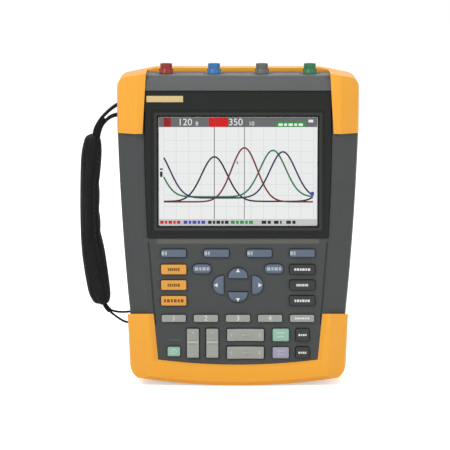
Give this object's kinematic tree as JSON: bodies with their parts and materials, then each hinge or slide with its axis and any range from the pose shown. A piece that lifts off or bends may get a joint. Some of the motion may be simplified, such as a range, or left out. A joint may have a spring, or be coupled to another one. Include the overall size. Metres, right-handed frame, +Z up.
{
  "type": "oscilloscope",
  "caption": "Hand-held oscilloscope with coloured input connectors, a large display, a rubber keypad, moulded end guards, a tilt stand and a padded side strap",
  "frame": {"origin": "middle of the flat land under the bottom guard, which the instrument stands on", "axes": "+Z up along the case, +Y to the back, +X to the right of someone who reads the display"},
  "size_m": [0.2253, 0.069, 0.2586],
  "materials": {
    "shell": "fine moulded grain",
    "guard": "soft matte elastomer",
    "panel": "fine moulded grain",
    "bezel": "satin",
    "window": "clear",
    "lcd": "glossy film in a metal frame",
    "mat": "matte",
    "board": "solder mask",
    "can": "tinned sheet",
    "connector_red": "moulded",
    "connector_blue": "moulded",
    "connector_grey": "moulded",
    "connector_green": "moulded",
    "insulator": "moulded, with a plated contact",
    "plate": "bare coloured plate",
    "seal": "matte",
    "stand": "fine moulded grain",
    "steel": "plain",
    "button_black": "matte",
    "battery": "matte",
    "flap": "matte",
    "grip_pad": "padded cloth",
    "webbing": "woven band",
    "key_slate": "silicone",
    "key_orange": "silicone",
    "key_charcoal": "silicone",
    "key_grey": "silicone",
    "key_pale_green": "silicone",
    "key_lavender": "silicone"
  },
  "bodies": {
    "case": {"front_case": "shell", "rear_case": "shell", "case_seal": "seal", "top_holster": "guard", "bottom_holster": "guard", "input_panel": "panel", "screen_bezel": "bezel", "display_window": "window", "lcd_panel": "lcd", "keypad_mat": "mat", "main_board": "board", "input_shield": "can", "bnc_red": "connector_red", "bnc_blue": "connector_blue", "bnc_grey": "connector_grey", "bnc_green": "connector_green", "bnc_contacts": "insulator", "name_plate": "plate", "stand_hinge_pins": "steel", "port_sockets": "steel", "case_screws": "steel", "strap_grip": "grip_pad", "strap_webbing": "webbing"},
    "stand": {"tilt_stand": "stand"},
    "release": {"stand_release": "button_black"},
    "battery": {"battery_pack": "battery"},
    "cover": {"battery_cover": "shell"},
    "lock_left": {"battery_latch_left": "steel"},
    "lock_right": {"battery_latch_right": "steel"},
    "flap": {"port_cover": "flap"},
    "soft_key_1": {"soft_key_1": "key_slate"},
    "soft_key_2": {"soft_key_2": "key_slate"},
    "soft_key_3": {"soft_key_3": "key_slate"},
    "soft_key_4": {"soft_key_4": "key_slate"},
    "scope_key": {"scope_key": "key_orange"},
    "meter_key": {"meter_key": "key_orange"},
    "recorder_key": {"recorder_key": "key_orange"},
    "cursor_key": {"cursor_key": "key_charcoal"},
    "zoom_key": {"zoom_key": "key_charcoal"},
    "replay_key": {"replay_key": "key_charcoal"},
    "clear_key": {"clear_key": "key_slate"},
    "enter_key": {"enter_key": "key_slate"},
    "arrow_up": {"arrow_up": "key_slate"},
    "arrow_down": {"arrow_down": "key_slate"},
    "arrow_left": {"arrow_left": "key_slate"},
    "arrow_right": {"arrow_right": "key_slate"},
    "channel_a_key": {"channel_a_key": "key_grey"},
    "channel_b_key": {"channel_b_key": "key_grey"},
    "channel_c_key": {"channel_c_key": "key_grey"},
    "channel_d_key": {"channel_d_key": "key_grey"},
    "trigger_key": {"trigger_key": "key_grey"},
    "range_rocker": {"range_rocker": "key_grey"},
    "level_rocker": {"level_rocker": "key_grey"},
    "time_rocker": {"time_rocker": "key_grey"},
    "position_rocker": {"position_rocker": "key_grey"},
    "auto_key": {"auto_key": "key_pale_green"},
    "hold_key": {"hold_key": "key_lavender"},
    "save_key": {"save_key": "key_charcoal"},
    "user_key": {"user_key": "key_charcoal"},
    "power_key": {"power_key": "key_pale_green"}
  },
  "joints": [
    {"name": "stand_fold", "type": "hinge", "parent": "case", "child": "stand", "pos_m": [0, 0.0272, 0.192], "axis": [1, 0, 0], "range_deg": [0, 38]},
    {"name": "battery_slide", "type": "slide", "parent": "case", "child": "battery", "axis": [0, 1, 0], "range_m": [0, 0.03]},
    {"name": "cover_lift", "type": "slide", "parent": "battery", "child": "cover", "axis": [0, 1, 0], "range_m": [0, 0.035]},
    {"name": "lock_left_turn", "type": "hinge", "parent": "cover", "child": "lock_left", "pos_m": [-0.03, 0.0268, 0.0504], "axis": [0, 1, 0], "range_deg": [0, 90]},
    {"name": "lock_right_turn", "type": "hinge", "parent": "cover", "child": "lock_right", "pos_m": [0.03, 0.0268, 0.0504], "axis": [0, 1, 0], "range_deg": [-90, 0]},
    {"name": "port_flap", "type": "hinge", "parent": "case", "child": "flap", "pos_m": [0.09266, 0.0147, 0.14607], "axis": [0.0569, 0, 0.9984], "range_deg": [0, 110]},
    {"name": "release_press", "type": "slide", "parent": "case", "child": "release", "axis": [0, -1, 0], "range_m": [0, 0.002], "stiffness_N_per_m": 1500},
    {"name": "range_rocker_tilt", "type": "hinge", "parent": "case", "child": "range_rocker", "pos_m": [-0.0362, -0.0307, 0.0351], "axis": [1, 0, 0], "range_deg": [-2.5, 2.5], "stiffness_Nm_per_rad": 0.5},
    {"name": "level_rocker_tilt", "type": "hinge", "parent": "case", "child": "level_rocker", "pos_m": [-0.0206, -0.0307, 0.0351], "axis": [1, 0, 0], "range_deg": [-2.5, 2.5], "stiffness_Nm_per_rad": 0.5},
    {"name": "time_rocker_tilt", "type": "hinge", "parent": "case", "child": "time_rocker", "pos_m": [0.006, -0.0307, 0.0418], "axis": [0, 0, 1], "range_deg": [-2.5, 2.5], "stiffness_Nm_per_rad": 0.5},
    {"name": "position_rocker_tilt", "type": "hinge", "parent": "case", "child": "position_rocker", "pos_m": [0.006, -0.0307, 0.0274], "axis": [0, 0, 1], "range_deg": [-2.5, 2.5], "stiffness_Nm_per_rad": 0.5},
    {"name": "soft_key_1_press", "type": "slide", "parent": "case", "child": "soft_key_1", "axis": [0, 1, 0], "range_m": [0, 0.0012], "stiffness_N_per_m": 1200},
    {"name": "soft_key_2_press", "type": "slide", "parent": "case", "child": "soft_key_2", "axis": [0, 1, 0], "range_m": [0, 0.0012], "stiffness_N_per_m": 1200},
    {"name": "soft_key_3_press", "type": "slide", "parent": "case", "child": "soft_key_3", "axis": [0, 1, 0], "range_m": [0, 0.0012], "stiffness_N_per_m": 1200},
    {"name": "soft_key_4_press", "type": "slide", "parent": "case", "child": "soft_key_4", "axis": [0, 1, 0], "range_m": [0, 0.0012], "stiffness_N_per_m": 1200},
    {"name": "scope_key_press", "type": "slide", "parent": "case", "child": "scope_key", "axis": [0, 1, 0], "range_m": [0, 0.0012], "stiffness_N_per_m": 1200},
    {"name": "meter_key_press", "type": "slide", "parent": "case", "child": "meter_key", "axis": [0, 1, 0], "range_m": [0, 0.0012], "stiffness_N_per_m": 1200},
    {"name": "recorder_key_press", "type": "slide", "parent": "case", "child": "recorder_key", "axis": [0, 1, 0], "range_m": [0, 0.0012], "stiffness_N_per_m": 1200},
    {"name": "cursor_key_press", "type": "slide", "parent": "case", "child": "cursor_key", "axis": [0, 1, 0], "range_m": [0, 0.0012], "stiffness_N_per_m": 1200},
    {"name": "zoom_key_press", "type": "slide", "parent": "case", "child": "zoom_key", "axis": [0, 1, 0], "range_m": [0, 0.0012], "stiffness_N_per_m": 1200},
    {"name": "replay_key_press", "type": "slide", "parent": "case", "child": "replay_key", "axis": [0, 1, 0], "range_m": [0, 0.0012], "stiffness_N_per_m": 1200},
    {"name": "clear_key_press", "type": "slide", "parent": "case", "child": "clear_key", "axis": [0, 1, 0], "range_m": [0, 0.0012], "stiffness_N_per_m": 1200},
    {"name": "enter_key_press", "type": "slide", "parent": "case", "child": "enter_key", "axis": [0, 1, 0], "range_m": [0, 0.0012], "stiffness_N_per_m": 1200},
    {"name": "arrow_up_press", "type": "slide", "parent": "case", "child": "arrow_up", "axis": [0, 1, 0], "range_m": [0, 0.0012], "stiffness_N_per_m": 1200},
    {"name": "arrow_down_press", "type": "slide", "parent": "case", "child": "arrow_down", "axis": [0, 1, 0], "range_m": [0, 0.0012], "stiffness_N_per_m": 1200},
    {"name": "arrow_left_press", "type": "slide", "parent": "case", "child": "arrow_left", "axis": [0, 1, 0], "range_m": [0, 0.0012], "stiffness_N_per_m": 1200},
    {"name": "arrow_right_press", "type": "slide", "parent": "case", "child": "arrow_right", "axis": [0, 1, 0], "range_m": [0, 0.0012], "stiffness_N_per_m": 1200},
    {"name": "channel_a_key_press", "type": "slide", "parent": "case", "child": "channel_a_key", "axis": [0, 1, 0], "range_m": [0, 0.0012], "stiffness_N_per_m": 1200},
    {"name": "channel_b_key_press", "type": "slide", "parent": "case", "child": "channel_b_key", "axis": [0, 1, 0], "range_m": [0, 0.0012], "stiffness_N_per_m": 1200},
    {"name": "channel_c_key_press", "type": "slide", "parent": "case", "child": "channel_c_key", "axis": [0, 1, 0], "range_m": [0, 0.0012], "stiffness_N_per_m": 1200},
    {"name": "channel_d_key_press", "type": "slide", "parent": "case", "child": "channel_d_key", "axis": [0, 1, 0], "range_m": [0, 0.0012], "stiffness_N_per_m": 1200},
    {"name": "trigger_key_press", "type": "slide", "parent": "case", "child": "trigger_key", "axis": [0, 1, 0], "range_m": [0, 0.0012], "stiffness_N_per_m": 1200},
    {"name": "auto_key_press", "type": "slide", "parent": "case", "child": "auto_key", "axis": [0, 1, 0], "range_m": [0, 0.0012], "stiffness_N_per_m": 1200},
    {"name": "hold_key_press", "type": "slide", "parent": "case", "child": "hold_key", "axis": [0, 1, 0], "range_m": [0, 0.0012], "stiffness_N_per_m": 1200},
    {"name": "save_key_press", "type": "slide", "parent": "case", "child": "save_key", "axis": [0, 1, 0], "range_m": [0, 0.0012], "stiffness_N_per_m": 1200},
    {"name": "user_key_press", "type": "slide", "parent": "case", "child": "user_key", "axis": [0, 1, 0], "range_m": [0, 0.0012], "stiffness_N_per_m": 1200},
    {"name": "power_key_press", "type": "slide", "parent": "case", "child": "power_key", "axis": [0, 1, 0], "range_m": [0, 0.0012], "stiffness_N_per_m": 1200}
  ]
}
